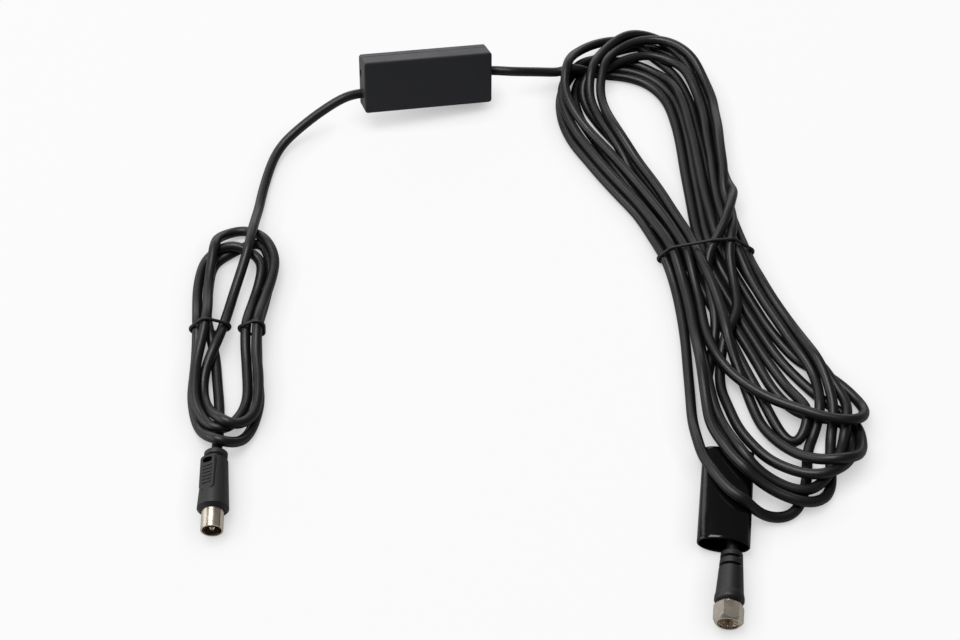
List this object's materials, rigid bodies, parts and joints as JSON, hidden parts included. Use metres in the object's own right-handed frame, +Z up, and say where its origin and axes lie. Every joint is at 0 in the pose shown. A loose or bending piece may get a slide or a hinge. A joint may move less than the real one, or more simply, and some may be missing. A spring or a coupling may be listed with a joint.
{
  "type": "television aerial lead with inline amplifier",
  "caption": "Folded coaxial aerial lead with an inline amplifier box, a push-in coaxial plug at one end and a screw-on hex connector with a loose weather sleeve at the other.",
  "frame": {"origin": "middle of the amplifier box's footprint, on the surface that everything lies on", "axes": "+X along the box from the plug's lead to the connector's lead, +Z up, both plugs point roughly towards -Y"},
  "size_m": [0.2964, 0.3472, 0.036],
  "materials": {
    "housing": "matt black moulded ABS, fine spark texture",
    "housing_back": "matt black moulded ABS, fine spark texture",
    "circuit_board": "green solder resist",
    "tinned_steel": "bright tin plate",
    "chip_resin": "matt black resin",
    "ferrite": "grey ferrite with enamelled winding",
    "capacitor_sleeve": "shrunk sleeve",
    "socket_plastic": "black nylon",
    "copper": "bare copper",
    "lead_pvc": "black PVC jacket, half gloss",
    "tie_plastic": "black plastic-covered wire",
    "plug_pvc": "matt black moulded PVC",
    "nickel": "nickel plate",
    "plug_insulator": "brown insulator",
    "sleeve_rubber": "glossy black soft PVC",
    "foam_insulator": "white polyethylene"
  },
  "bodies": {
    "lead": {"front_shell": "housing", "back_cover": "housing_back", "circuit_board": "circuit_board", "shield_can": "tinned_steel", "amplifier_chip": "chip_resin", "ring_inductors": "ferrite", "electrolytic_capacitor": "capacitor_sleeve", "dc_jack": "socket_plastic", "dc_jack_pin": "tinned_steel", "braid_clamps": "tinned_steel", "core_wires": "copper", "left_lead": "lead_pvc", "left_hank": "lead_pvc", "left_tie_outer": "tie_plastic", "left_tie_inner": "tie_plastic", "left_tail": "lead_pvc", "plug_body": "plug_pvc", "plug_ferrule": "nickel", "plug_insulator": "plug_insulator", "plug_pin": "nickel", "right_lead": "lead_pvc", "right_hank": "lead_pvc", "right_tie": "tie_plastic", "right_tail": "lead_pvc", "weather_sleeve": "sleeve_rubber", "connector_body": "plug_pvc", "connector_core": "nickel", "connector_insulator": "foam_insulator", "connector_pin": "copper"},
    "nut": {"hex_nut": "nickel"}
  },
  "joints": [
    {"name": "nut_spin", "type": "hinge", "parent": "lead", "child": "nut", "pos_m": [0.05573, -0.31662, 0.00665], "axis": [-0.3649, -0.9311, 0], "continuous": true}
  ]
}
